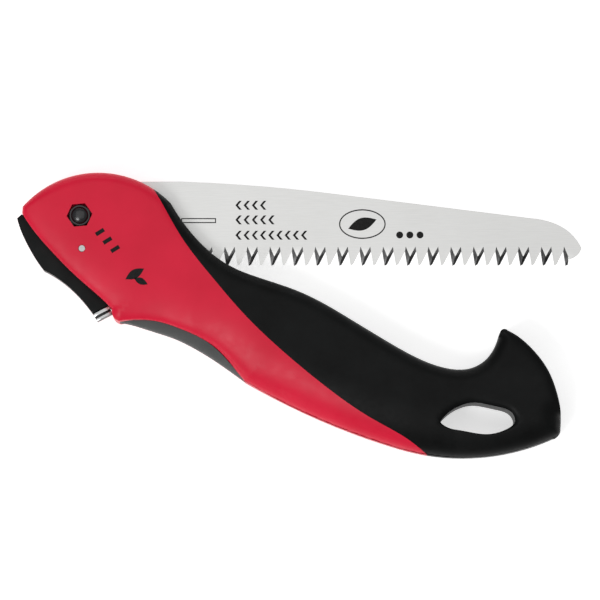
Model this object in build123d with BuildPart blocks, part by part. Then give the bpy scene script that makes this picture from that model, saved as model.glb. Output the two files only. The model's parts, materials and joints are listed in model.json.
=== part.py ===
from build123d import *
import os
from math import atan2, cos, degrees, radians, sin, sqrt

# Folding pruning saw, lying on its side. Millimetres. +Z up, the origin under the blade pivot on the
# plane that the saw rests on, +X from the pivot towards the blade's tip.

# thicknesses, along Z
handle_t = 25.0
mid_z = handle_t / 2
blade_t = 1.3
slot_t = 2.6
thrust_t = 0.58
lever_t = 9.0
lever_gap = 0.1
core_t = 2.2
tab_t = 8.0
rubber_t = 3.5
pad_inset = 4.0

# blade, measured from the pivot
spine_y = 14.6
tip_y = -19.4
tooth_depth = 5.8
tooth_pitch = 4.55
tooth_count = 36
last_tip_x = 195.1
tang_r = 10.5
relief_r = 9.35
heel = (12.0, -17.0)
shoulder = (6.3, 14.6)
closed_turn = -17.5
open_turn = 145.0

# clearances on a radius: pressed or threaded, turning, washers on a shaft, the bolt in its bores
seat_gap = 0.02
run_gap = 0.03
washer_gap = 0.05
bore_gap = 0.1
# clearances around what moves inside the handle: the swinging blade and its tang, the rocking lever
blade_room = 1.2
tang_room = 0.8
lever_room = 0.4

# pivot, from the bolt's head below to the nut above
bolt_head_r = 4.6
bolt_head_t = 3.0
bolt_head_room = 0.2
bolt_r = 2.5
bolt_top_z = 23.6
bolt_end_chamfer = 0.4
bushing_r = 4.0
bushing_half_t = 4.0
thrust_r = 8.5
thrust_lift = 0.035
washer_t = 0.6
bolt_washer_r = 4.7
nut_washer_r = 4.4
nut_seat_z = 19.0
nut_flats = 8.0
nut_t = 3.4
nut_turn = 5
collar_r = 3.3
collar_t = 1.4
collar_round = 0.6
recess_flats = 9.0

# lock lever, its pin and its spring
pin_at = (0.96, -13.4)
pin_r = 1.25
nose_dir = 224.5
nose_half_w = 1.1
nose_r = 10.8
lever_in = -6.0
lever_out = 8.0
cheek_gap = 3.2
cheek_open_r = 22.0
core_eye_r = 2.6
pin_low_z = 1.0
pin_top_z = 24.4
pin_eye_r = 1.5
pin_eye_depth = 0.8
groove_at = (9.1, -39.2)
groove_w = 1.0
groove_length = 12.0
groove_depth = 1.8
tab_turn = 27.7
spring_low_z = 14.35
spring_coil_r = 2.2
spring_wire_r = 0.24
spring_pitch = 0.62
spring_turns = 3
spring_room_z = (14.0, 16.6)
spring_room_r = 2.95

# handle
palm_round = 9.0
slot_round = 5.0
head_round = 5.0
head_centre = (7.3, -22.95)
head_r = 40.35
head_arc = (42.0, 141.0)

# moulded cavities, closed over by the other half
cavity_depth = 4.5
cavity_round = 2.0

# screws that join the halves
screw_r = 1.5
screw_head_r = 2.8
screw_spots = [(30.4, -36.4), (75.0, -58.0), (120.0, -75.0), (184.0, -84.6)]
screw_head_z = (1.5, 4.0)
screw_top_z = 20.0
screw_head_room = 0.3
screw_bore_room = 0.2
screw_tip_room = 0.5

os.makedirs("parts", exist_ok=True)


def write(piece, name):
    piece.part.label = name
    export_step(piece.part, f"parts/{name}.step")


def polar(r, direction):
    return (r * cos(radians(direction)), r * sin(radians(direction)))


def prism(plan, low_z, high_z):
    with BuildPart() as solid:
        with BuildSketch(Plane.XY.offset(low_z)):
            add(plan.sketch)
        extrude(amount=high_z - low_z)
    return solid.part


# ---- plans shared by several pieces

palm_end = (66.2, -66.4)
scallop_end = (16.0, -42.4)
scallop = [
    palm_end, (59.6, -58.4), (52.0, -51.2), (40.5, -45.4), (32.0, -42.6), (24.0, -41.7), scallop_end,
]
lever_corner = (13.0, -37.4)

with BuildSketch() as handle_plan:
    with BuildLine():
        ThreePointArc((-23.0, 3.7), (head_centre[0], head_centre[1] + head_r), (36.6, 4.9))
        Spline(
            (36.6, 4.9), (47, -9.4), (59.8, -19.8), (72.6, -25), (88.6, -30.6), (107.8, -41),
            (127, -52.6), (146.2, -61), (155.8, -61.4), (162.2, -58.2), (167.8, -49), (168.6, -46.4),
        )
        ThreePointArc((168.6, -46.4), (169.9, -45.6), (171.4, -46.2))
        Spline(
            (171.4, -46.2), (175, -48.2), (181.4, -53.8), (187.8, -62.6), (191, -71),
            (192.6, -79), (192.6, -85.5),
        )
        ThreePointArc((192.6, -85.5), (191.6, -88.3), (189.4, -89.3))
        heel_arc = ThreePointArc((189.4, -89.3), (155.0, -96.9), (128.0, -93.2))
        palm_arc = TangentArc(heel_arc @ 1, palm_end, tangent=heel_arc % 1)
        Spline(*scallop)
        Spline(scallop_end, (13.7, -40.9), lever_corner)
        Spline(lever_corner, (8.6, -33), (-1, -24.6), (-10.6, -15), (-17, -7.8), (-23.2, 1.1))
        Line((-23.2, 1.1), (-23.0, 3.7))
    make_face()

with BuildSketch() as lanyard_plan:
    with BuildLine():
        Spline(
            (144.6, -82.4), (150, -77.6), (157.5, -75.2), (166, -76.6), (173.4, -79.8),
            (174.2, -82.4), (170, -86.2), (162, -87.8), (152, -86.2), (146, -84.4),
            periodic=True,
        )
    make_face()

with BuildSketch() as rubber_region:
    with BuildLine():
        Spline(
            (26, 16), (31, 8.3), (40.6, -8.5), (53.4, -25.3), (66.2, -40.1), (79, -52.5),
            (98.2, -68.5), (117.4, -81.7), (130.2, -88.9), (141, -97.5), (146, -103),
        )
        Polyline((146, -103), (230, -103), (230, 16), (26, 16))
    make_face()

with BuildSketch() as hard_region:
    Rectangle(600, 600)
    add(rubber_region.sketch, mode=Mode.SUBTRACT)

# the hard slab under the rubber, set in from the handle's edge
with BuildSketch() as slab_plan:
    with BuildLine():
        Polyline(
            (30, -8), (44, -13), (58, -25), (74, -31), (90, -35.5), (110, -46.5), (128, -57.5),
            (147, -66), (158, -66), (166, -60.5), (171, -53), (176, -54), (184, -64.5),
            (188, -76), (188.5, -83.5), (185, -86.5), (172, -91.6), (158, -93.3), (143, -93),
            (130, -89.2), (111, -82), (95, -74), (70, -55), (30, -8),
        )
    make_face()
    with Locations((159.4, -81.5)):
        Ellipse(17.6, 9.0, mode=Mode.SUBTRACT)

# everything the blade passes over between closed and open, from near the pivot to past the tip
slot_start_x = 5.0
slot_length = 201.0
with BuildSketch() as slot_plan:
    Circle(tang_r + tang_room)
    steps = 13
    for step in range(steps + 1):
        turn = closed_turn + (open_turn - closed_turn) * step / steps
        with Locations(Location((0, 0, 0), (0, 0, turn))):
            with Locations((slot_start_x, tip_y - blade_room)):
                Rectangle(slot_length, spine_y - tip_y + 2 * blade_room, align=Align.MIN)

# the lever's cover: its curved back, its hollow thumb rest and the side inside the handle
cover_back = [(-25.4, -0.6), (-24.5, -3.8), (-21.8, -10.1), (-17.8, -17.1), (-14.6, -21.5)]
cover_thumb = [(-14.6, -21.5), (-8.2, -25.3), (-0.7, -31.9), (5.0, -38.9)]
cover_inside = [
    (5.0, -38.9), (11.3, -35.6), (8.0, -29.5), (5.4, -16), (1.0, -9.6), (-3.5, -9.8),
    (-8.0, -7.0), (-14, -2), (-23.6, 1.0), (-25.4, -0.6),
]
with BuildSketch() as cover_plan:
    with BuildLine():
        Spline(*cover_back)
        Spline(*cover_thumb)
        Polyline(*cover_inside)
    make_face()

nose_tip = [
    (polar(nose_r, nose_dir)[0] + side * nose_half_w * sin(radians(nose_dir)),
     polar(nose_r, nose_dir)[1] - side * nose_half_w * cos(radians(nose_dir)))
    for side in (1, -1)
]
nose_root = [
    (polar(14.0, nose_dir)[0] + side * nose_half_w * sin(radians(nose_dir)),
     polar(14.0, nose_dir)[1] - side * nose_half_w * cos(radians(nose_dir)))
    for side in (-1, 1)
]
# the steel tab past the cover: where the cover ends, and the tab's outer edge
tab_root = [(5.3, -39.2), (11.6, -35.9)]
tab_end = [(6.9, -42.0), (13.0, -38.8)]
with BuildSketch() as core_plan:
    with BuildLine():
        Polyline(
            (0.5, -11.3), (-6.5, -11.6), nose_root[0], nose_tip[1], nose_tip[0], nose_root[1],
            (-17.0, -13.5), (-13.5, -19.5), (-8.0, -22.5), (-1.0, -28.5), tab_end[0],
            tab_end[1], (7.0, -28.5), (3.6, -19.0), (3.4, -14.6), (0.5, -11.3),
        )
    make_face()
    with Locations(pin_at):
        Circle(core_eye_r)

# the lever's outline in straight lines, for the pocket
with BuildSketch() as lever_plan:
    with BuildLine():
        Polyline(*cover_back, *cover_thumb[1:], *cover_inside[1:])
    make_face()
    add(core_plan.sketch)

# the pocket the lever rocks in: its plan at several turns about its pin, with room around it
with BuildSketch() as pocket_plan:
    for turn in (lever_in, -3, 0, 3, 6, lever_out):
        with Locations(Location((pin_at[0], pin_at[1], 0), (0, 0, turn))):
            with Locations((-pin_at[0], -pin_at[1])):
                add(lever_plan.sketch)
    offset(amount=lever_room, kind=Kind.INTERSECTION)

# ---- one half of the handle

def round_cutter(centre, radius, size, start, end):
    """What rounding an arc of the handle's top edge takes away, with the arc's centre inside the handle."""
    start_plane = Plane(origin=centre, x_dir=(*polar(1, start), 0), z_dir=(*polar(1, start - 90), 0))
    with BuildPart() as cutter:
        with BuildSketch(start_plane):
            with Locations((radius, handle_t)):
                Rectangle(2 * size, 2 * size)
            with Locations((radius - size, handle_t - size)):
                Circle(size, mode=Mode.SUBTRACT)
        revolve(axis=Axis(centre, (0, 0, 1)), revolution_arc=end - start)
    return cutter.part


def arc_directions(arc):
    """Where an arc starts and ends seen from its centre, in degrees, lower first."""
    spokes = [arc @ 0 - arc.arc_center, arc @ 1 - arc.arc_center]
    return sorted(degrees(atan2(spoke.Y, spoke.X)) % 360 for spoke in spokes)


# the two palm arcs are tangent, so their cutters meet in one plane; each runs past its free end
heel_overrun = 1.8
palm_overrun = 0.1
heel_low, heel_high = arc_directions(heel_arc)
palm_low = arc_directions(palm_arc)[0]
with BuildPart() as palm_cutter:
    heel_end = heel_high + heel_overrun
    add(round_cutter(tuple(heel_arc.arc_center), heel_arc.radius, palm_round, heel_low, heel_end))
    palm_start = palm_low - palm_overrun
    add(round_cutter(tuple(palm_arc.arc_center), palm_arc.radius, palm_round, palm_start, heel_low))
head_cutter = round_cutter((*head_centre, 0), head_r, head_round, *head_arc)

with BuildPart() as half_body:
    with BuildSketch(Plane.XY.offset(mid_z)):
        add(handle_plan.sketch)
    extrude(amount=mid_z)
    rim = half_body.faces().sort_by(Axis.Z)[-1].edges()
    fillet([e for e in rim if e.length > 140 and e.center().Y > -60], slot_round)
    add(head_cutter, mode=Mode.SUBTRACT)
    add(palm_cutter.part, mode=Mode.SUBTRACT)
    with BuildSketch(Plane.XY.offset(mid_z)):
        add(lanyard_plan.sketch)
    extrude(amount=mid_z, mode=Mode.SUBTRACT)

# cutters run past the faces they open, so that no two faces lie in one plane
below_z = mid_z - 1
above_z = handle_t + 1
slot_cutter = prism(slot_plan, below_z, mid_z + slot_t / 2)

with BuildPart() as half_grip:
    add(half_body.part)
    add(prism(hard_region, below_z, above_z), mode=Mode.SUBTRACT)
    add(prism(slab_plan, below_z, handle_t - rubber_t), mode=Mode.SUBTRACT)
    add(slot_cutter, mode=Mode.SUBTRACT)

with BuildSketch() as rubber_skirt_plan:
    add(rubber_region.sketch)
    add(slab_plan.sketch, mode=Mode.SUBTRACT)

with BuildPart() as half_shell:
    add(half_body.part)
    add(prism(rubber_skirt_plan, below_z, above_z), mode=Mode.SUBTRACT)
    add(prism(rubber_region, handle_t - rubber_t, above_z), mode=Mode.SUBTRACT)
    add(slot_cutter, mode=Mode.SUBTRACT)
    add(prism(pocket_plan, below_z, mid_z + lever_t / 2 + lever_gap), mode=Mode.SUBTRACT)
    # moulded cavities in the solid back of the handle
    with BuildSketch(Plane.XY.offset(mid_z)):
        with Locations(Location((0, 0, 0), (0, 0, closed_turn))):
            with Locations((106, -33), (124, -34)):
                RectangleRounded(14, 18, cavity_round)
            with Locations((71, -28.5)):
                RectangleRounded(14, 10, cavity_round)
    extrude(amount=cavity_depth, mode=Mode.SUBTRACT)
    # seat for the pivot bushing, clearance for the bolt, bore for the lever's pin
    with BuildSketch(Plane.XY.offset(mid_z)):
        Circle(bushing_r + seat_gap)
    extrude(amount=bushing_half_t, mode=Mode.SUBTRACT)
    with BuildSketch(Plane.XY.offset(mid_z)):
        Circle(bolt_r + bore_gap)
    extrude(amount=mid_z, mode=Mode.SUBTRACT)
    with BuildSketch(Plane.XY.offset(mid_z)):
        with Locations(pin_at):
            Circle(pin_r + seat_gap)
    extrude(amount=mid_z, mode=Mode.SUBTRACT)

with BuildPart() as upper_shell:
    add(half_shell.part)
    with BuildSketch(Plane.XY.offset(nut_seat_z)):
        RegularPolygon(recess_flats / sqrt(3), 6, rotation=nut_turn)
    extrude(amount=above_z - nut_seat_z, mode=Mode.SUBTRACT)
    with BuildSketch(Plane.XY.offset(handle_t - pin_eye_depth)):
        with Locations(pin_at):
            Circle(pin_eye_r)
    extrude(amount=above_z - handle_t + pin_eye_depth, mode=Mode.SUBTRACT)
    with BuildSketch(Plane.XY.offset(mid_z)):
        with Locations(*screw_spots):
            Circle(screw_r + seat_gap)
    extrude(amount=screw_top_z + screw_tip_room - mid_z, mode=Mode.SUBTRACT)
write(upper_shell, "upper_shell")

with BuildPart() as lower_shell:
    mirror(half_shell.part, about=Plane.XY.offset(mid_z))
    with BuildSketch(Plane.XY):
        Circle(bolt_head_r + bolt_head_room)
    extrude(amount=bolt_head_t + washer_t, mode=Mode.SUBTRACT)
    with BuildSketch(Plane.XY):
        with Locations(*screw_spots):
            Circle(screw_head_r + screw_head_room)
    extrude(amount=screw_head_z[1], mode=Mode.SUBTRACT)
    with BuildSketch(Plane.XY):
        with Locations(*screw_spots):
            Circle(screw_r + screw_bore_room)
    extrude(amount=mid_z, mode=Mode.SUBTRACT)
write(lower_shell, "lower_shell")

with BuildPart() as upper_grip:
    add(half_grip.part)
write(upper_grip, "upper_grip")

with BuildPart() as lower_grip:
    mirror(half_grip.part, about=Plane.XY.offset(mid_z))
    with BuildSketch(Plane.XY):
        with Locations(*screw_spots):
            Circle(screw_head_r + screw_head_room)
    extrude(amount=screw_head_z[1], mode=Mode.SUBTRACT)
write(lower_grip, "lower_grip")

with BuildPart() as spine_pad:
    with BuildSketch(Plane.XY.offset(pad_inset)):
        with BuildLine():
            Spline(*scallop)
            Spline(
                scallop_end, (22.0, -43.7), (29.0, -45.9), (36.7, -48.4), (44.3, -51.9),
                (59.6, -61.6), palm_end,
            )
        make_face()
    extrude(amount=handle_t - 2 * pad_inset)
write(spine_pad, "spine_pad")

# ---- blade

with BuildPart() as blade:
    with BuildSketch(Plane.XY.offset(mid_z - blade_t / 2)):
        with BuildLine():
            teeth = []
            for index in range(tooth_count):
                x = last_tip_x - (tooth_count - 1 - index) * tooth_pitch
                teeth += [(x - 0.9, tip_y + tooth_depth), (x, tip_y), (x + 1.0, tip_y + 0.55)]
            Polyline(polar(tang_r, -54.8), heel, (teeth[0][0] - 3, heel[1]), *teeth, (197.0, -16.7))
            Spline((197.0, -16.7), (200.3, -14.7), (201.6, -12.3))
            Spline((201.6, -12.3), (199.7, -9.1), (195.1, -4.6), (188.8, -1.6), (181.4, -0.2))
            Spline((181.4, -0.2), (155.8, 3.0), (117.4, 7.8), (79, 12.2), (50.2, 14.2), (40.6, spine_y))
            Polyline((40.6, spine_y), shoulder, (0, 0), polar(tang_r, -54.8))
        make_face()
        Circle(tang_r)
        Circle(bushing_r + run_gap, mode=Mode.SUBTRACT)
        # notches that the lever's nose drops into: blade closed or part open, and blade fully open
        for start, end in ((213, 252), (67, 88)):
            with BuildLine():
                CenterArc((0, 0), relief_r, start, end - start)
                Line(polar(relief_r, end), polar(tang_r + 1, end))
                CenterArc((0, 0), tang_r + 1, start, end - start)
                Line(polar(tang_r + 1, start), polar(relief_r, start))
            make_face(mode=Mode.SUBTRACT)
    extrude(amount=blade_t)
write(blade, "blade")


# ---- pivot

def ring(inner_r, outer_r, low_z, high_z, name):
    with BuildPart() as piece:
        with BuildSketch(Plane.XY.offset(low_z)):
            Circle(outer_r)
            Circle(inner_r, mode=Mode.SUBTRACT)
        extrude(amount=high_z - low_z)
    write(piece, name)


thrust_z = blade_t / 2 + thrust_lift
nut_low_z = nut_seat_z + washer_t
collar_z = nut_low_z + nut_t

ring(bolt_r + bore_gap, bushing_r, mid_z - bushing_half_t, mid_z + bushing_half_t, "pivot_bushing")
ring(bushing_r + washer_gap, thrust_r, mid_z + thrust_z, mid_z + thrust_z + thrust_t, "upper_thrust_washer")
ring(bushing_r + washer_gap, thrust_r, mid_z - thrust_z - thrust_t, mid_z - thrust_z, "lower_thrust_washer")
ring(bolt_r + washer_gap, nut_washer_r, nut_seat_z, nut_low_z, "nut_washer")
ring(bolt_r + washer_gap, bolt_washer_r, bolt_head_t, bolt_head_t + washer_t, "bolt_washer")

with BuildPart() as pivot_bolt:
    with BuildSketch(Plane.XY):
        Circle(bolt_head_r)
    extrude(amount=bolt_head_t)
    with BuildSketch(Plane.XY.offset(bolt_head_t)):
        Circle(bolt_r)
    extrude(amount=bolt_top_z - bolt_head_t)
    chamfer(pivot_bolt.faces().sort_by(Axis.Z)[-1].edges(), bolt_end_chamfer)
write(pivot_bolt, "pivot_bolt")

with BuildPart() as pivot_nut:
    with BuildSketch(Plane.XY.offset(nut_low_z)):
        RegularPolygon(nut_flats / sqrt(3), 6, rotation=nut_turn)
    extrude(amount=nut_t)
    with BuildSketch(Plane.XY.offset(collar_z)):
        Circle(collar_r)
    extrude(amount=collar_t)
    fillet(pivot_nut.faces().sort_by(Axis.Z)[-1].edges(), collar_round)
    with BuildSketch(Plane.XY.offset(nut_low_z)):
        Circle(bolt_r + seat_gap)
    extrude(amount=nut_t + collar_t + 1, mode=Mode.SUBTRACT)
write(pivot_nut, "pivot_nut")

# ---- lock lever

with BuildPart() as lever_core:
    with BuildSketch(Plane.XY.offset(mid_z - core_t / 2)):
        add(core_plan.sketch)
        with Locations(pin_at):
            Circle(pin_r + run_gap, mode=Mode.SUBTRACT)
    extrude(amount=core_t)
    # the shiny end tab that the thumb pushes
    with BuildSketch(Plane.XY.offset(mid_z - tab_t / 2)):
        with BuildLine():
            Polyline(tab_root[0], tab_end[0], tab_end[1], tab_root[1], tab_root[0])
        make_face()
    extrude(amount=tab_t)
    # a groove along the tab on both faces, between its ridge and its outer lip
    for groove_z in (mid_z - tab_t / 2 - 1, mid_z + tab_t / 2 - groove_depth):
        with BuildSketch(Plane.XY.offset(groove_z)):
            with Locations(Location((*groove_at, 0), (0, 0, tab_turn))):
                Rectangle(groove_length, groove_w)
        extrude(amount=groove_depth + 1, mode=Mode.SUBTRACT)
write(lever_core, "lever_core")

with BuildPart() as lever_cover:
    with BuildSketch(Plane.XY.offset(mid_z - lever_t / 2)):
        add(cover_plan.sketch)
        with Locations(pin_at):
            Circle(pin_r + run_gap, mode=Mode.SUBTRACT)
    extrude(amount=lever_t)
    with BuildSketch(Plane.XY.offset(mid_z - core_t / 2 - seat_gap)):
        add(core_plan.sketch)
    extrude(amount=core_t + 2 * seat_gap, mode=Mode.SUBTRACT)
    # open between the cheeks, where the blade's tang and its spine pass
    with BuildSketch(Plane.XY.offset(mid_z - cheek_gap / 2)):
        Circle(cheek_open_r)
        with BuildLine():
            Polyline((-10, -15), (-30, -2.2), (-30, 8), (-10, 8), (-10, -15))
        make_face()
    extrude(amount=cheek_gap, mode=Mode.SUBTRACT)
    # room for the return spring around the pin
    with BuildSketch(Plane.XY.offset(spring_room_z[0])):
        with Locations(pin_at):
            Circle(spring_room_r)
    extrude(amount=spring_room_z[1] - spring_room_z[0], mode=Mode.SUBTRACT)
write(lever_cover, "lever_cover")

with BuildPart() as lever_pin:
    with BuildSketch(Plane.XY.offset(pin_low_z)):
        with Locations(pin_at):
            Circle(pin_r)
    extrude(amount=pin_top_z - pin_low_z)
write(lever_pin, "lever_pin")

with BuildPart() as lever_spring:
    with BuildLine(Plane(origin=(*pin_at, spring_low_z))):
        coil = Helix(pitch=spring_pitch, height=spring_turns * spring_pitch, radius=spring_coil_r)
    with BuildSketch(Plane(origin=coil @ 0, z_dir=coil % 0)):
        Circle(spring_wire_r)
    sweep(path=coil)
write(lever_spring, "lever_spring")

with BuildPart() as shell_screws:
    with BuildSketch(Plane.XY.offset(screw_head_z[0])):
        with Locations(*screw_spots):
            Circle(screw_head_r)
    extrude(amount=screw_head_z[1] - screw_head_z[0])
    with BuildSketch(Plane.XY.offset(screw_head_z[1])):
        with Locations(*screw_spots):
            Circle(screw_r)
    extrude(amount=screw_top_z - screw_head_z[1])
write(shell_screws, "shell_screws")
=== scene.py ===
import json
import math

import bmesh
import bpy
import numpy as np
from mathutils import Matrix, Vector
from mathutils.geometry import delaunay_2d_cdt


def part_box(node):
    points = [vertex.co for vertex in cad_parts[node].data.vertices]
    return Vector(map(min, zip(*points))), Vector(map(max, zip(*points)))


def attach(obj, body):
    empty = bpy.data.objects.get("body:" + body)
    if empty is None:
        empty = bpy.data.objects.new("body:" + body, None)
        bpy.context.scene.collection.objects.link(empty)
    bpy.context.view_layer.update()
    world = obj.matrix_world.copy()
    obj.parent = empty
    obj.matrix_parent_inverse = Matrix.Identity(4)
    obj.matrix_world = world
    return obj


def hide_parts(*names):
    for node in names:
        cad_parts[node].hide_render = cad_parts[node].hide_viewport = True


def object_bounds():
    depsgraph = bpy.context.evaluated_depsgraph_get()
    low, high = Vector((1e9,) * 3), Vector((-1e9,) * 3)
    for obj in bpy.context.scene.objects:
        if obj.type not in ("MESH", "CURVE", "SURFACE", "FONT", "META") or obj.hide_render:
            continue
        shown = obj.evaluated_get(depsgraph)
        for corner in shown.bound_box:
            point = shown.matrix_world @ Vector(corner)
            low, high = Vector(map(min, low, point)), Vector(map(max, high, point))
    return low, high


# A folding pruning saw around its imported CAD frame. Metres. The blade's pivot is on the Z axis.
MM = 0.001

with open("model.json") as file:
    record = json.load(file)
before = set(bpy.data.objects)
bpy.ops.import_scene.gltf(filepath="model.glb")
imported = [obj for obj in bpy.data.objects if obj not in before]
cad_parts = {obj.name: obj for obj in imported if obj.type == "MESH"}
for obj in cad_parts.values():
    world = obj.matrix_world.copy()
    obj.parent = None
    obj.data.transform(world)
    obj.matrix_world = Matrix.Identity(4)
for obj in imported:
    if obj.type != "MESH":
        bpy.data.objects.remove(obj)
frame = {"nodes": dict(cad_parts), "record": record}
nodes = frame["nodes"]
cad_low, cad_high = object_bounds()

HANDLE_TOP = cad_high.z
MID_Z = HANDLE_TOP / 2


# ---- materials

def socket(shader, name, value):
    shader.inputs[name].default_value = value


def colour(r, g, b):
    return (r, g, b, 1.0)


def new_material(name, **constants):
    """A node material whose constants sit on the shader's own sockets."""
    mat = bpy.data.materials.new(name)
    mat.use_nodes = True
    shader = mat.node_tree.nodes["Principled BSDF"]
    for key, value in constants.items():
        socket(shader, key.replace("_", " "), value)
    return mat, mat.node_tree, shader


def noise(tree, scale, detail=4.0, stretch=(1, 1, 1), turn=0.0, roughness=0.5):
    """Noise in the piece's own coordinates, in cells per metre, stretched along an axis."""
    coords = tree.nodes.new("ShaderNodeTexCoord")
    mapping = tree.nodes.new("ShaderNodeMapping")
    mapping.inputs["Scale"].default_value = stretch
    mapping.inputs["Rotation"].default_value = (0, 0, turn)
    texture = tree.nodes.new("ShaderNodeTexNoise")
    texture.inputs["Scale"].default_value = scale
    texture.inputs["Detail"].default_value = detail
    texture.inputs["Roughness"].default_value = roughness
    tree.links.new(coords.outputs["Object"], mapping.inputs["Vector"])
    tree.links.new(mapping.outputs["Vector"], texture.inputs["Vector"])
    return texture.outputs["Fac"]


def ramp(tree, value, low, high, start=0.3, end=0.7):
    """A colour that goes from low to high as value goes from start to end."""
    node = tree.nodes.new("ShaderNodeValToRGB")
    node.color_ramp.elements[0].position = start
    node.color_ramp.elements[1].position = end
    node.color_ramp.elements[0].color = low
    node.color_ramp.elements[1].color = high
    tree.links.new(value, node.inputs["Fac"])
    return node.outputs["Color"]


def spread(tree, value, low, high, start=0.3, end=0.7):
    """A number that goes from low to high as value goes from start to end."""
    node = tree.nodes.new("ShaderNodeMapRange")
    for key, number in (("From Min", start), ("From Max", end), ("To Min", low), ("To Max", high)):
        node.inputs[key].default_value = number
    tree.links.new(value, node.inputs["Value"])
    return node.outputs["Result"]


def bump(tree, shader, layers):
    """Stacks bumps on the shader's normal. A layer is a height value, its depth and its strength."""
    last = None
    for height, depth, strength in layers:
        node = tree.nodes.new("ShaderNodeBump")
        node.inputs["Distance"].default_value = depth
        node.inputs["Strength"].default_value = strength
        tree.links.new(height, node.inputs["Height"])
        if last:
            tree.links.new(last, node.inputs["Normal"])
        last = node.outputs["Normal"]
    tree.links.new(last, shader.inputs["Normal"])


def red_nylon():
    mat, tree, shader = new_material("red_nylon", Specular_IOR_Level=0.22)
    cloud = noise(tree, 45, detail=3)
    tree.links.new(ramp(tree, cloud, colour(0.62, 0.005, 0.032), colour(0.70, 0.008, 0.041)),
                   shader.inputs["Base Color"])
    tree.links.new(spread(tree, noise(tree, 260, detail=5), 0.34, 0.44), shader.inputs["Roughness"])
    bump(tree, shader, [(noise(tree, 2600, detail=3), 0.00004, 0.22), (noise(tree, 90), 0.0002, 0.06)])
    return mat


def rubber(name, dark, light, rough, gloss):
    mat, tree, shader = new_material(name, Specular_IOR_Level=gloss)
    tree.links.new(ramp(tree, noise(tree, 70, detail=6), dark, light), shader.inputs["Base Color"])
    tree.links.new(spread(tree, noise(tree, 500, detail=5), rough - 0.05, rough + 0.08),
                   shader.inputs["Roughness"])
    bump(tree, shader, [(noise(tree, 3200, detail=2), 0.00006, 0.35), (noise(tree, 240), 0.0001, 0.06)])
    return mat


def moulded_black():
    mat, tree, shader = new_material("lever_plastic", Specular_IOR_Level=0.09)
    tree.links.new(ramp(tree, noise(tree, 120), colour(0.004, 0.005, 0.005), colour(0.009, 0.010, 0.010)),
                   shader.inputs["Base Color"])
    tree.links.new(spread(tree, noise(tree, 600), 0.34, 0.46), shader.inputs["Roughness"])
    bump(tree, shader, [(noise(tree, 2800, detail=2), 0.00004, 0.25)])
    return mat


def brushed_steel(name, dark, light, rough, scale=2600, stretch=(0.05, 1.0, 1.0), depth=0.000008):
    """Steel with fine parallel scratches, cells stretched along the direction of brushing."""
    mat, tree, shader = new_material(name, Metallic=1.0)
    lines = noise(tree, scale, detail=5, stretch=stretch, roughness=0.6)
    broad = noise(tree, 28, detail=3)
    mix = tree.nodes.new("ShaderNodeMath")
    mix.operation = "MULTIPLY_ADD"
    mix.inputs[1].default_value = 0.5
    tree.links.new(broad, mix.inputs[0])
    tree.links.new(lines, mix.inputs[2])
    tree.links.new(ramp(tree, mix.outputs[0], dark, light, 0.45, 1.05), shader.inputs["Base Color"])
    tree.links.new(spread(tree, lines, rough - 0.04, rough + 0.05), shader.inputs["Roughness"])
    bump(tree, shader, [(lines, depth, 0.25)])
    return mat


def dark_metal():
    mat, tree, shader = new_material("black_steel", Metallic=0.2, Specular_IOR_Level=0.5, Coat_Weight=0.3,
                                     Coat_Roughness=0.12)
    tree.links.new(ramp(tree, noise(tree, 300), colour(0.005, 0.005, 0.006), colour(0.012, 0.012, 0.014)),
                   shader.inputs["Base Color"])
    tree.links.new(spread(tree, noise(tree, 900), 0.22, 0.34), shader.inputs["Roughness"])
    bump(tree, shader, [(noise(tree, 1800), 0.00002, 0.2)])
    return mat


def printed_ink():
    mat, tree, shader = new_material("printed_ink", Specular_IOR_Level=0.15)
    tree.links.new(ramp(tree, noise(tree, 1500), colour(0.004, 0.004, 0.004), colour(0.012, 0.012, 0.012)),
                   shader.inputs["Base Color"])
    tree.links.new(spread(tree, noise(tree, 2000), 0.45, 0.6), shader.inputs["Roughness"])
    return mat


def pale_plastic():
    mat, tree, shader = new_material("washer_plastic", Specular_IOR_Level=0.4)
    tree.links.new(ramp(tree, noise(tree, 300), colour(0.62, 0.61, 0.56), colour(0.72, 0.71, 0.67)),
                   shader.inputs["Base Color"])
    tree.links.new(spread(tree, noise(tree, 900), 0.4, 0.55), shader.inputs["Roughness"])
    return mat


materials = {
    "red_nylon": red_nylon(),
    "grip_rubber": rubber("grip_rubber", colour(0.0020, 0.0022, 0.0022), colour(0.005, 0.0055, 0.0055),
                          0.42, 0.10),
    # the spine pad's rubber is the grip's black rubber made grey: painted light for the light its rounded
    # underside catches
    "pad_rubber": rubber("pad_rubber", colour(0.060, 0.063, 0.062), colour(0.085, 0.086, 0.086),
                         0.60, 0.2),
    "blade_steel": brushed_steel("blade_steel", colour(0.60, 0.60, 0.59), colour(0.68, 0.68, 0.67), 0.40),
    "black_steel": dark_metal(),
    "bright_steel": brushed_steel("bright_steel", colour(0.38, 0.38, 0.38), colour(0.54, 0.54, 0.54), 0.26),
    "washer_plastic": pale_plastic(),
    "lever_plastic": moulded_black(),
}
# near-black steel for the teeth's ground facets: painted shade standing in for the dark the tilted facets
# reflect
facet_steel_painted_shade = brushed_steel("facet_steel_painted_shade", colour(0.012, 0.012, 0.013), colour(0.13, 0.13, 0.13), 0.34,
                             stretch=(1.0, 0.08, 1.0))
# dark steel for the lever tab's groove and sides: painted shade
painted_shade = brushed_steel("painted_shade_steel", colour(0.010, 0.010, 0.011), colour(0.05, 0.05, 0.05), 0.4)
ink = printed_ink()


# ---- mesh helpers

WELD_WITHIN = 2e-6
FLAT_WITHIN = math.radians(0.6)
ON_PLANE = 1e-7


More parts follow.
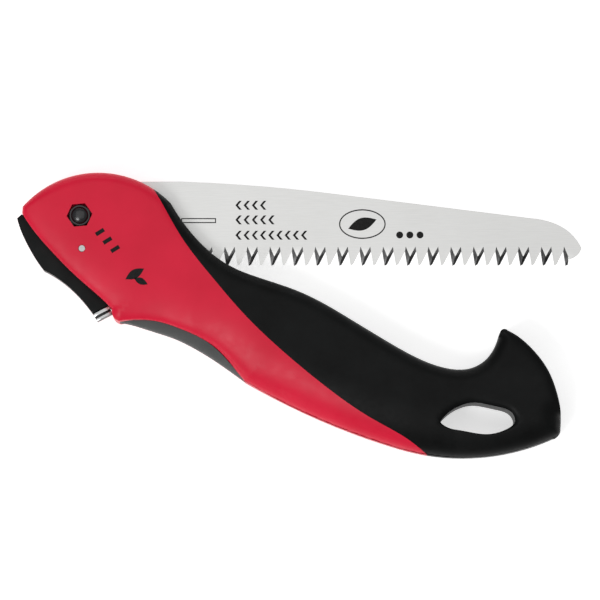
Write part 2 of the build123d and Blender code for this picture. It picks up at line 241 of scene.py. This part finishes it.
def welded(node):
    """A CAD node's mesh with its split corners joined and its flat faces made whole again."""
    mesh = bmesh.new()
    mesh.from_mesh(nodes[node].data)
    bmesh.ops.remove_doubles(mesh, verts=mesh.verts, dist=WELD_WITHIN)
    bmesh.ops.dissolve_limit(mesh, angle_limit=FLAT_WITHIN, verts=mesh.verts, edges=mesh.edges,
                             delimit=set())
    return mesh


def slice_grid(mesh, step):
    """Cuts every face along a square grid, so that flat faces can be bent."""
    places = np.array([v.co for v in mesh.verts])
    low, high = places.min(0), places.max(0)
    for axis in (0, 1):
        normal = Vector((axis == 0, axis == 1, 0))
        for at in np.arange(low[axis] + step / 2, high[axis], step):
            bmesh.ops.bisect_plane(mesh, geom=mesh.verts[:] + mesh.edges[:] + mesh.faces[:],
                                   plane_co=normal * at, plane_no=normal, dist=ON_PLANE)


def finish_piece(mesh, name, slot, body, replaced=(), smooth_angle=32.0, mats=None):
    """Makes the object with its faces outward, its shading, its materials, its body and its nodes."""
    data = bpy.data.meshes.new(name)
    bmesh.ops.recalc_face_normals(mesh, faces=mesh.faces)
    if mesh.calc_volume(signed=True) < 0:
        bmesh.ops.reverse_faces(mesh, faces=mesh.faces)
    limit = math.radians(smooth_angle)
    for face in mesh.faces:
        face.smooth = True
    for edge in mesh.edges:
        edge.smooth = len(edge.link_faces) == 2 and edge.calc_face_angle(0.0) < limit
    mesh.to_mesh(data)
    mesh.free()
    piece = bpy.data.objects.new(name, data)
    bpy.context.scene.collection.objects.link(piece)
    for mat in mats or [materials[slot]]:
        data.materials.append(mat)
    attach(piece, body)
    if replaced:
        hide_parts(*replaced)
    return piece


# ---- the handle's outline, read from the frame

SECTION_Z = 17.3 * MM   # above every pocket and slot, so that only the outline and the bores are cut
BORE_SIZE = 8 * MM
PIECE_LENGTH = 4 * MM


def section_loops(node, height):
    """The closed lines where a level plane cuts a node, each a list of point pairs."""
    mesh = welded(node)
    cut = bmesh.ops.bisect_plane(mesh, geom=mesh.verts[:] + mesh.edges[:] + mesh.faces[:],
                                 plane_co=(0, 0, height), plane_no=(0, 0, 1))["geom_cut"]
    waiting = {e for e in cut if isinstance(e, bmesh.types.BMEdge)}
    loops = []
    while waiting:
        stack = [waiting.pop()]
        loop = []
        while stack:
            edge = stack.pop()
            loop.append((edge.verts[0].co.copy(), edge.verts[1].co.copy()))
            for vert in edge.verts:
                for link in vert.link_edges:
                    if link in waiting:
                        waiting.remove(link)
                        stack.append(link)
        loops.append(loop)
    mesh.free()
    return loops


def outline_pieces(node, height):
    """Where a level plane cuts a node, bores left out, as short straight pieces in plan."""
    pieces = []
    for loop in section_loops(node, height):
        places = np.array([p for pair in loop for p in pair])
        if max(places.max(0) - places.min(0)) < BORE_SIZE:
            continue
        for a, b in loop:
            count = max(1, math.ceil((b - a).length / PIECE_LENGTH))
            cuts = [a.lerp(b, k / count).xy for k in range(count + 1)]
            pieces += list(zip(cuts[:-1], cuts[1:]))
    return np.array(pieces)


def distance(places, pieces):
    """How far each place in plan is from the nearest of the straight pieces."""
    nearest = np.full(len(places), np.inf)
    for a, b in pieces:
        along = b - a
        share = np.clip((places - a) @ along / (along @ along), 0, 1)
        nearest = np.minimum(nearest, np.hypot(*(places - a - share[:, None] * along).T))
    return nearest


def not_shared(own, other, gap=0.25 * MM):
    """The pieces of own that other doesn't run along: the wall between two parts drops out."""
    return own[distance(own.mean(1), other) > gap]


shell_outline = outline_pieces("upper_shell", SECTION_Z)
grip_outline = outline_pieces("upper_grip", SECTION_Z)
pad_outline = outline_pieces("spine_pad", MID_Z)
rim = np.concatenate([not_shared(shell_outline, grip_outline), not_shared(grip_outline, shell_outline)])

# the rim's stretches: the belly from lever to heel, the slot's side, head, hook and lanyard hole
shell_low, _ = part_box("upper_shell")
_, pad_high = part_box("spine_pad")
AXIS_SLOPE = math.tan(math.radians(-21.1))  # the handle's long axis, which parts belly from slot
AXIS_Y = 2.4 * MM                           # where that axis meets the handle's front end
HEAD_END_X = 36 * MM
HOOK_START_X = 168 * MM
hole = frame["record"]["physics"]["openings"][0]["box_m"]
HOLE_REACH = 8 * MM


def stretch_of(x, y):
    """Which stretch of the rim a place belongs to."""
    in_hole_x = hole[0][0] - HOLE_REACH < x < hole[1][0] + HOLE_REACH
    if in_hole_x and hole[0][1] - HOLE_REACH / 2 < y < hole[1][1] + HOLE_REACH / 2:
        return "hole"
    if y < AXIS_Y + (x - shell_low.x) * AXIS_SLOPE:
        return "belly"
    if x < HEAD_END_X:
        return "head"
    return "slot" if x < HOOK_START_X else "hook"


# how far the surface falls at each stretch, and how far in from the rim the fall starts; on the belly
# both change along X, past the lever, the scallop, the palm and the heel
CROWN = {
    "slot": (5.0 * MM, 6 * MM),
    "head": (4.2 * MM, 4.8 * MM),
    "hook": (2.0 * MM, 5 * MM),
    "hole": (1.6 * MM, 3 * MM),
}
BELLY_X = np.array([10, 45, 80, 150, 184]) * MM
BELLY_DEPTH = np.array([3.0, 4.0, 10.0, 10.0, 7.0]) * MM
BELLY_REACH = np.array([18, 18, 20, 20, 10]) * MM
rim_names = np.array([stretch_of(*place) for place in rim.mean(1)])
solid_rim = rim[rim_names != "hole"]
handle_crown = [(rim[rim_names == name], [0], [depth], [reach]) for name, (depth, reach) in CROWN.items()]
handle_crown.append((rim[rim_names == "belly"], BELLY_X, BELLY_DEPTH, BELLY_REACH))
pad_crown = [(not_shared(pad_outline, shell_outline), [0], [6.5 * MM], [7.5 * MM])]
BLEND = 4       # how sharply the falls from two stretches join: a higher power is sharper


def crown_drop(places, crown):
    """How far below the highest level a crowned surface lies, at each place in plan."""
    total = np.zeros(len(places))
    for pieces, at_x, depths, reaches in crown:
        depth, reach = (np.interp(places[:, 0], at_x, values) for values in (depths, reaches))
        near = np.clip(1 - distance(places, pieces) / reach, 0, 1)
        total += (depth * (1 - np.sqrt(1 - near ** 2))) ** BLEND
    return total ** (1 / BLEND)


GRID = 1.7 * MM
EDGE_ROUND = 0.25 * MM
KEPT_LEVEL = 5.0 * MM   # nearer to the middle than this, only the outer faces are moved or rounded
PAD_KEPT_LEVEL = 1.5 * MM
RIM_BAND = 1.5 * MM     # how far in from the rim the mesh is refined
RIM_EDGE = 0.7 * MM     # the length above which an edge there is halved
REFINE_ROUNDS = 2
SLOPE_STEP = 0.02 * MM


def round_outer_edges(mesh, width, clear_of_middle, least_turn=50.0, segments=2, only=None):
    """Rounds the convex sharp edges that lie far enough from the middle, or only those of some faces."""
    edges = []
    for edge in mesh.edges:
        if len(edge.link_faces) != 2 or not edge.is_convex:
            continue
        if only is not None and not only.intersection(edge.link_faces):
            continue
        if math.degrees(edge.calc_face_angle(0.0)) < least_turn:
            continue
        if min(abs(v.co.z - MID_Z) for v in edge.verts) < clear_of_middle:
            continue
        edges.append(edge)
    made = bmesh.ops.bevel(mesh, geom=edges, offset=width, offset_type="OFFSET", segments=segments,
                           profile=0.5, affect="EDGES", clamp_overlap=True)
    return made["faces"]


CAD_ROUND = 9.0 * MM    # the frame's largest rounding, along the palm
LEVEL_SLACK = 0.4 * MM
LEAST_RISE = 0.02       # a face whose normal has a smaller Z than this is a wall


def outer_faces(mesh, side, top, rounded):
    """The faces on the outside, above for side 1 or below for -1, without small roundings and recesses."""
    faces = [f for f in mesh.faces if not f[rounded] and f.normal.z * side > LEAST_RISE]
    middles = np.array([f.calc_center_median() for f in faces])
    near = np.clip(1 - distance(middles[:, :2], solid_rim) / CAD_ROUND, 0, 1)
    deepest = CAD_ROUND * (1 - np.sqrt(1 - near ** 2)) + LEVEL_SLACK
    depth = top - MID_Z - np.abs(middles[:, 2] - MID_Z)
    return [face for face, shown in zip(faces, depth < deepest) if shown]


def refine_rim(mesh, crown, side, top, rounded):
    """Halves the long edges near the rim, where the surface bends most, in a few rounds."""
    pieces = np.concatenate([stretch[0] for stretch in crown])
    for _ in range(REFINE_ROUNDS):
        edges = list({edge for face in outer_faces(mesh, side, top, rounded) for edge in face.edges})
        middles = np.array([((e.verts[0].co + e.verts[1].co) / 2)[:2] for e in edges])
        near = distance(middles, pieces) < RIM_BAND
        long_edges = [e for e, close in zip(edges, near) if close and e.calc_length() > RIM_EDGE]
        bmesh.ops.subdivide_edges(mesh, edges=long_edges, cuts=1)
        bmesh.ops.triangulate(mesh, faces=[f for f in mesh.faces if len(f.verts) > 4])


WALL_LEAN = 0.25      # the most that a wall's normal leaves the level
WALL_CORNER = 0.82    # the cosine of the turn above which a wall's corner stays sharp


def wall_normals(data, ways, normals):
    """Gives upright walls level normals that turn smoothly along the outline."""
    walls = [f for f in data.polygons if not ways[f.index] and abs(f.normal.z) < WALL_LEAN]
    meeting = {}
    for face in walls:
        for index in face.vertices:
            meeting.setdefault(index, []).append((face.normal.copy(), face.area))
    for face in walls:
        for corner in face.loop_indices:
            near = meeting[data.loops[corner].vertex_index]
            total = sum((n * area for n, area in near if n.dot(face.normal) > WALL_CORNER), Vector())
            normals[corner] = (total.x, total.y, 0.0)


def crowned(node, slot, crown, top, side, kept=KEPT_LEVEL):
    """A node's mesh with its outer faces bent down towards the rim; side is 1 above, -1 below, 0 both."""
    mesh = welded(node)
    rounded = mesh.faces.layers.int.new("rounded")
    sides = (side,) if side else (1, -1)
    mesh.normal_update()
    seen = {face for way in sides for face in outer_faces(mesh, way, top, rounded)}
    for face in round_outer_edges(mesh, EDGE_ROUND, kept, only=seen):
        face[rounded] = 1
    slice_grid(mesh, GRID)
    bent = mesh.faces.layers.int.new("bent")
    for way in sides:
        refine_rim(mesh, crown, way, top, rounded)
    for way in sides:
        for face in outer_faces(mesh, way, top, rounded):
            face[bent] = way
    mesh.verts.ensure_lookup_table()
    mesh.verts.index_update()
    places = np.array([v.co[:2] for v in mesh.verts])
    drop = crown_drop(places, crown)
    slopes = [(crown_drop(places + step, crown) - crown_drop(places - step, crown)) / (2 * SLOPE_STEP)
              for step in np.eye(2) * SLOPE_STEP]
    at_rim = distance(places, np.concatenate([stretch[0] for stretch in crown])) < 2 * SLOPE_STEP
    for vert in mesh.verts:
        height = top - MID_Z - drop[vert.index]
        ways = {face[bent] for face in vert.link_faces} - {0}
        level = abs(vert.co.z - MID_Z)
        if ways:
            vert.co.z = MID_Z + ways.pop() * height
        elif level > kept:
            share = (level - kept) / (top - MID_Z - kept)
            moved = kept + share * max(height - kept, 0.0)
            vert.co.z = MID_Z + math.copysign(moved, vert.co.z - MID_Z)
    piece = finish_piece(mesh, node + "_body", slot, "handle", [node])
    data = piece.data
    ways = np.zeros(len(data.polygons), dtype=np.int32)
    data.attributes["bent"].data.foreach_get("value", ways)
    normals = np.zeros((len(data.loops), 3))
    for face in data.polygons:
        for corner in face.loop_indices if ways[face.index] else ():
            index = data.loops[corner].vertex_index
            if not at_rim[index]:
                normals[corner] = (slopes[0][index], slopes[1][index], ways[face.index])
    wall_normals(data, ways, normals)
    lengths = np.linalg.norm(normals, axis=1, keepdims=True)
    data.normals_split_custom_set((normals / np.where(lengths > 0, lengths, 1)).tolist())
    for name in ("bent", "rounded"):
        data.attributes.remove(data.attributes[name])
    return piece


for half, side in (("upper", 1), ("lower", -1)):
    crowned(half + "_shell", "red_nylon", handle_crown, HANDLE_TOP, side)
    crowned(half + "_grip", "grip_rubber", handle_crown, HANDLE_TOP, side)
# the spine pad takes the grey rubber, whose colour is painted light
crowned("spine_pad", "pad_rubber", pad_crown, pad_high.z, 0, kept=PAD_KEPT_LEVEL)


# ---- pieces with the CAD's shape and rounded edges

# the slot, the body, the rounding's width and how far from the middle the rounded edges lie
ROUNDED = {
    "lever_cover": ("lever_plastic", "lock_lever", 0.9 * MM, 4.0 * MM),
    "pivot_bolt": ("black_steel", "handle", 0.5 * MM, 11.5 * MM),
    "shell_screws": ("black_steel", "handle", 0.35 * MM, 10.8 * MM),
}
for node, (slot, body, width, clear) in ROUNDED.items():
    mesh = welded(node)
    round_outer_edges(mesh, width, clear, least_turn=40.0, segments=4)
    finish_piece(mesh, node + "_body", slot, body, [node])


TAB_ROUND = 0.12 * MM
TAB_CLEAR = 1.0 * MM
TAB_BRIGHT = 0.15 * MM  # how far below the tab's ridge its faces still take the bright steel, a painted highlight; lower faces take painted shade


def lever_tab():
    """The lever's steel core with painted light: bright steel on the tab's ridge and lip as a painted
    highlight, dark steel in its groove and on its sides as painted shade.
    """
    mesh = welded("lever_core")
    top = max(v.co.z for v in mesh.verts)
    round_outer_edges(mesh, TAB_ROUND, TAB_CLEAR)
    for face in mesh.faces:
        level = abs(face.calc_center_median().z - MID_Z)
        # faces near the ridge get the painted highlight, the lower ones the painted shade
        face.material_index = int(level < top - MID_Z - TAB_BRIGHT)
    finish_piece(mesh, "lever_core_body", "bright_steel", "lock_lever", ["lever_core"],
                 mats=[materials["bright_steel"], painted_shade])


NUT_BELOW_TOP = 0.1 * MM
NUT_SHOULDER = 0.55     # share of the nut's height where the chamfered corners start
NUT_HEX = 0.70          # share of the height where the flats end and the dome starts
DOME_R = 3.5 * MM
DOME_STEP = 10          # degrees between the dome's rings
TURNS = 72


def domed_nut():
    """A hexagon with chamfered corners under a dome that covers the bolt's end."""
    low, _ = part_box("pivot_nut")
    height = HANDLE_TOP - NUT_BELOW_TOP - low.z
    corner = max((v.co.xy.length, v.co.xy.to_tuple()) for v in nodes["pivot_nut"].data.vertices)
    first = math.atan2(corner[1][1], corner[1][0])
    flat = corner[0] * math.cos(math.pi / 6)

    def hex_radius(turn):
        off = (turn - first) % (math.pi / 3) - math.pi / 6
        return flat / math.cos(off)

    rings = [(0.0, None), (NUT_SHOULDER, None), (NUT_HEX, flat)]
    mesh = bmesh.new()
    turns = [2 * math.pi * k / TURNS for k in range(TURNS)]

    def ring(share, widest):
        z = low.z + height * share
        radii = [hex_radius(t) if widest is None else min(hex_radius(t), widest) for t in turns]
        return [mesh.verts.new((r * math.cos(t), r * math.sin(t), z)) for r, t in zip(radii, turns)]

    made = [ring(*step) for step in rings]
    for k in range(90 // DOME_STEP):
        lift = math.sin(math.radians(DOME_STEP * k))
        spread_out = math.cos(math.radians(DOME_STEP * k))
        made.append(ring(NUT_HEX + (1 - NUT_HEX) * lift, DOME_R * spread_out))
    for below, above in zip(made[:-1], made[1:]):
        for k in range(TURNS):
            j = (k + 1) % TURNS
            mesh.faces.new([below[k], below[j], above[j], above[k]])
    mesh.faces.new(made[0][::-1])
    mesh.faces.new(made[-1])
    finish_piece(mesh, "domed_nut", "black_steel", "handle", ["pivot_nut"])


lever_tab()
domed_nut()


# ---- the blade, with its teeth ground by turns from one face and the other

TOOTH_DEPTH = 5.8 * MM
TOOTH_PITCH = 4.55 * MM
EDGE_LEFT = 0.25 * MM   # how thick a ground tooth's cutting edge is left
SAME = 0.02 * MM        # what differs by less than this, or by a set share of it, counts as one
WALL_RISE = 0.5         # a face whose normal has a smaller Z than this is on the blade's outline
CDT_NEAR = 1e-9
GULLET_DX = -0.9 * MM
BACK_TIP = (1.0 * MM, 0.55 * MM)
# corners of the ground area from the tooth's point: its left root, its middle ridge and its right root
LEFT_ROOT = (-0.55 * MM, 7.7 * MM)
RIDGE = (1.15 * MM, 3.7 * MM)
RIGHT_ROOT = (3.4 * MM, 7.7 * MM)


def inside(place, loop):
    """Whether a place in plan is inside a closed line, given as point pairs, by crossings."""
    x, y = place
    crossings = sum(1 for (ax, ay), (bx, by) in loop
                    if (ay > y) != (by > y) and x < ax + (y - ay) * (bx - ax) / (by - ay))
    return crossings % 2 == 1


def sawblade():
    """The blade with ground teeth. Gives back the level of its upper face."""
    low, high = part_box("blade")
    flat = welded("blade")
    outline = []
    for edge in flat.edges:
        if all(abs(v.co.z - high.z) < SAME / 2 for v in edge.verts):
            if any(abs(f.normal.z) < WALL_RISE for f in edge.link_faces):
                outline.append(tuple((v.co.x, v.co.y) for v in edge.verts))
    flat.free()
    places = []

    def number(x, y):
        for index, (px, py) in enumerate(places):
            if abs(px - x) < SAME / 4 and abs(py - y) < SAME / 4:
                return index
        places.append((x, y))
        return len(places) - 1

    edges = [(number(*a), number(*b)) for a, b in outline]
    tips = sorted((p for p in places if abs(p[1] - low.y) < SAME), key=lambda p: -p[0])
    ground = {1: [], -1: []}
    lowered = {1: set(), -1: set()}
    for count, (x, y) in enumerate(tips):
        way = 1 if count % 2 == 0 else -1
        left = number(x + GULLET_DX, y + TOOTH_DEPTH)
        point = number(x, y)
        back = number(x + BACK_TIP[0], y + BACK_TIP[1])
        root_a = number(x + LEFT_ROOT[0], y + LEFT_ROOT[1])
        ridge = number(x + RIDGE[0], y + RIDGE[1])
        area = [left, point, back]
        edges += [(left, root_a), (root_a, ridge), (ridge, point), (left, ridge)]
        if count:
            right = number(x + GULLET_DX + TOOTH_PITCH, y + TOOTH_DEPTH)
            root_b = number(x + RIGHT_ROOT[0], y + RIGHT_ROOT[1])
            edges += [(ridge, root_b), (root_b, right), (ridge, right)]
            area += [right, root_b]
        else:
            edges.append((ridge, back))
        area += [ridge, root_a]
        ground[way].append(area)
        lowered[way].update((point, back))
    made = delaunay_2d_cdt([Vector(p) for p in places], edges, [], 0, CDT_NEAR)
    new_places, faces, origins = made[0], made[2], made[3]
    mesh = bmesh.new()
    levels = {1: high.z, -1: low.z}
    corners = {}
    for way in (1, -1):
        for index, place in enumerate(new_places):
            deep = any(o in lowered[way] for o in origins[index])
            z = levels[-way] + way * EDGE_LEFT if deep else levels[way]
            corners[way, index] = mesh.verts.new((place.x, place.y, z))
    for face in faces:
        middle = sum((new_places[i] for i in face), Vector((0, 0))) / 3
        if not inside(middle, outline):
            continue
        for way in (1, -1):
            made_face = mesh.faces.new([corners[way, i] for i in (face if way > 0 else face[::-1])])
            loops = ([(places[a[i - 1]], places[a[i]]) for i in range(len(a))] for a in ground[way])
            # faces inside a ground area take the steel with painted shade
            made_face.material_index = int(any(inside(middle, loop) for loop in loops))
    rim_edges = [e for e in mesh.edges if len(e.link_faces) == 1]
    upper = {vert: index for (way, index), vert in corners.items() if way == 1}
    for edge in rim_edges:
        if edge.verts[0] in upper:
            a, b = (upper[v] for v in edge.verts)
            mesh.faces.new([corners[1, a], corners[1, b], corners[-1, b], corners[-1, a]])
    bmesh.ops.delete(mesh, geom=[v for v in mesh.verts if not v.link_faces], context="VERTS")
    finish_piece(mesh, "sawblade", "blade_steel", "blade", ["blade"], smooth_angle=20.0,
                 mats=[materials["blade_steel"], facet_steel_painted_shade])
    return high.z


BLADE_TOP = sawblade()


# ---- generic printed marks

INK_LIFT = 0.03 * MM
INK_SINK = 0.02 * MM

# the marks' places and sizes in millimetres, as plate() takes them
FRAME_AT = (47.5, -1.2)
FRAME_HALF = (7.0, 1.0)
FRAME_LINE = 0.4
CHEVRON_X = 62.3
CHEVRON_PITCH = 3.3
CHEVRON_ROWS = ((5.0, 4), (-0.9, 5), (-7.1, 9))     # each row's Y and how many it holds
CHEVRON_SIZE = (1.8, 1.5, 1.05)                     # half height, width, stroke
BADGE_AT = (113.4, -2.6)
BADGE_HALF = (9.4, 6.0)
BADGE_LINE = 0.5
BADGE_LEAF = (12.0, 5.0, 18)                        # length, width, turn in degrees
DOT_X = (128.4, 132.5, 136.6)
DOT_Y = -7.0
DOT_R = 1.4
DOT_SIDES = 24
DASH_PLACES = ((8.2, -6.9), (11.2, -10.3), (14.3, -13.7))
DASH_SHAPE = (1.9, 0.8, 32)                         # half length, half width, turn in degrees
LEAVES = ((22.2, -23.7, 8.5, 3.6, 30), (24.6, -26.6, 6.0, 2.6, -25))


def plate(mesh, outer, level, inner=None):
    """A thin flat closed piece with an outline and, if given, a matching inner outline, in millimetres."""
    rings = []
    for z in (level + INK_LIFT, level - INK_SINK):
        rings.append([[mesh.verts.new((x * MM, y * MM, z)) for x, y in line]
                      for line in ([outer, inner] if inner else [outer])])
    top, bottom = rings
    count = len(outer)
    for line in range(len(top)):
        for k in range(count):
            j = (k + 1) % count
            mesh.faces.new([top[line][k], top[line][j], bottom[line][j], bottom[line][k]])
    for ring_pair in rings:
        if inner:
            for k in range(count):
                j = (k + 1) % count
                mesh.faces.new([ring_pair[0][k], ring_pair[0][j], ring_pair[1][j], ring_pair[1][k]])
        else:
            mesh.faces.new(ring_pair[0])


def oval(x, y, half_x, half_y, count=40):
    turns = (2 * math.pi * k / count for k in range(count))
    return [(x + half_x * math.cos(turn), y + half_y * math.sin(turn)) for turn in turns]


def slanted(x, y, half_x, half_y, turn):
    """A rectangle about a place, turned by an angle in degrees."""
    c, s = math.cos(math.radians(turn)), math.sin(math.radians(turn))
    return [(x + c * u - s * v, y + s * u + c * v)
            for u, v in ((-half_x, -half_y), (half_x, -half_y), (half_x, half_y), (-half_x, half_y))]


def leaf(x, y, length, width, turn, count=16):
    """A pointed leaf about a place, turned by an angle in degrees."""
    c, s = math.cos(math.radians(turn)), math.sin(math.radians(turn))
    shares = [k / count for k in range(count + 1)]
    side = [(length * (t - 0.5), width / 2 * math.sin(math.pi * t)) for t in shares]
    line = side + [(u, -v) for u, v in side[-2:0:-1]]
    return [(x + c * u - s * v, y + s * u + c * v) for u, v in line]


def chevron(x, y, half_y, width, stroke):
    return [(x, y), (x + width, y + half_y), (x + width + stroke, y + half_y), (x + stroke, y),
            (x + width + stroke, y - half_y), (x + width, y - half_y)]


def blade_marks():
    mesh = bmesh.new()
    opening = [half - FRAME_LINE for half in FRAME_HALF]
    plate(mesh, slanted(*FRAME_AT, *FRAME_HALF, 0), BLADE_TOP, slanted(*FRAME_AT, *opening, 0))
    for y, count in CHEVRON_ROWS:
        for k in range(count):
            plate(mesh, chevron(CHEVRON_X + CHEVRON_PITCH * k, y, *CHEVRON_SIZE), BLADE_TOP)
    opening = [half - BADGE_LINE for half in BADGE_HALF]
    plate(mesh, oval(*BADGE_AT, *BADGE_HALF), BLADE_TOP, oval(*BADGE_AT, *opening))
    plate(mesh, leaf(*BADGE_AT, *BADGE_LEAF), BLADE_TOP)
    for x in DOT_X:
        plate(mesh, oval(x, DOT_Y, DOT_R, DOT_R, DOT_SIDES), BLADE_TOP)
    finish_piece(mesh, "blade_marks", "black_steel", "blade", mats=[ink])


def handle_marks():
    mesh = bmesh.new()
    for place in DASH_PLACES:
        plate(mesh, slanted(*place, *DASH_SHAPE), HANDLE_TOP)
    for shape in LEAVES:
        plate(mesh, leaf(*shape), HANDLE_TOP)
    finish_piece(mesh, "handle_marks", "black_steel", "handle", mats=[ink])


blade_marks()
handle_marks()


# ---- the pieces that keep their CAD shape

KEPT = {
    "lever_pin": "bright_steel",
    "lever_spring": "bright_steel",
    "pivot_bushing": "bright_steel",
    "upper_thrust_washer": "washer_plastic",
    "lower_thrust_washer": "washer_plastic",
    "nut_washer": "black_steel",
    "bolt_washer": "black_steel",
}
for node, slot in KEPT.items():
    data = nodes[node].data
    data.materials.clear()
    data.materials.append(materials[slot])


# ---- floor, light and camera

FLOOR_HALF = 3.0
FLOOR_AT = (0.09, -0.03, -0.0003)   # a little lower than the saw, so that the two don't share a plane
FLOOR_GLOW = 0.58
WORLD_GLOW = 0.32


def make_floor():
    mesh = bmesh.new()
    bmesh.ops.create_grid(mesh, x_segments=1, y_segments=1, size=FLOOR_HALF)
    data = bpy.data.meshes.new("floor")
    mesh.to_mesh(data)
    mesh.free()
    floor = bpy.data.objects.new("floor", data)
    floor.location = FLOOR_AT
    bpy.context.scene.collection.objects.link(floor)
    mat, tree, shader = new_material("floor", Roughness=0.9, Specular_IOR_Level=0.0,
                                     Emission_Strength=FLOOR_GLOW)
    socket(shader, "Emission Color", colour(1.0, 1.0, 1.0))
    tree.links.new(ramp(tree, noise(tree, 3), colour(0.84, 0.84, 0.84), colour(0.88, 0.88, 0.88)),
                   shader.inputs["Base Color"])
    data.materials.append(mat)


def soft_light(name, at, aim, size, watts):
    lamp = bpy.data.lights.new(name, "AREA")
    lamp.shape = "RECTANGLE"
    lamp.size, lamp.size_y = size
    lamp.energy = watts
    light = bpy.data.objects.new(name, lamp)
    light.location = at
    light.rotation_euler = (Vector(aim) - Vector(at)).to_track_quat("-Z", "Y").to_euler()
    light.visible_camera = False
    bpy.context.scene.collection.objects.link(light)


VIEW_CENTRE = Vector((88.3, -33.2, 12.5)) * MM
VIEW_WIDTH = 241.3 * MM
VIEW_HEIGHT_ANGLE = math.radians(85.5)
LENS = 340.0
SENSOR = 36.0


def make_camera():
    lens = bpy.data.cameras.new("camera")
    lens.lens = LENS
    lens.sensor_width = SENSOR
    camera = bpy.data.objects.new("camera", lens)
    back = Vector((0, -math.cos(VIEW_HEIGHT_ANGLE), math.sin(VIEW_HEIGHT_ANGLE)))
    camera.location = VIEW_CENTRE + back * (VIEW_WIDTH * LENS / SENSOR)
    camera.rotation_euler = (-back).to_track_quat("-Z", "Y").to_euler()
    bpy.context.scene.collection.objects.link(camera)
    bpy.context.scene.camera = camera


make_floor()
make_camera()

SUBJECT = (0.08, -0.03, 0.0)
# where each soft light stands, its two sides and its watts
LIGHTS = {
    "overhead": ((0.08, 0.25, 1.6), (1.7, 1.5), 6.8),
    "key": ((-0.36, -0.52, 1.10), (0.38, 0.38), 5.4),
    "low_key": ((-0.60, -0.80, 0.30), (0.5, 0.25), 1.4),
    "far_strip": ((0.05, 0.90, 0.34), (1.0, 0.10), 1.5),
}
for name, (at, size, watts) in LIGHTS.items():
    soft_light(name, at, SUBJECT, size, watts)

world = bpy.data.worlds.new("studio")
world.use_nodes = True
background = world.node_tree.nodes["Background"]
background.inputs["Color"].default_value = colour(1.0, 1.0, 1.0)
background.inputs["Strength"].default_value = WORLD_GLOW
bpy.context.scene.world = world
bpy.context.scene.view_settings.view_transform = "Standard"
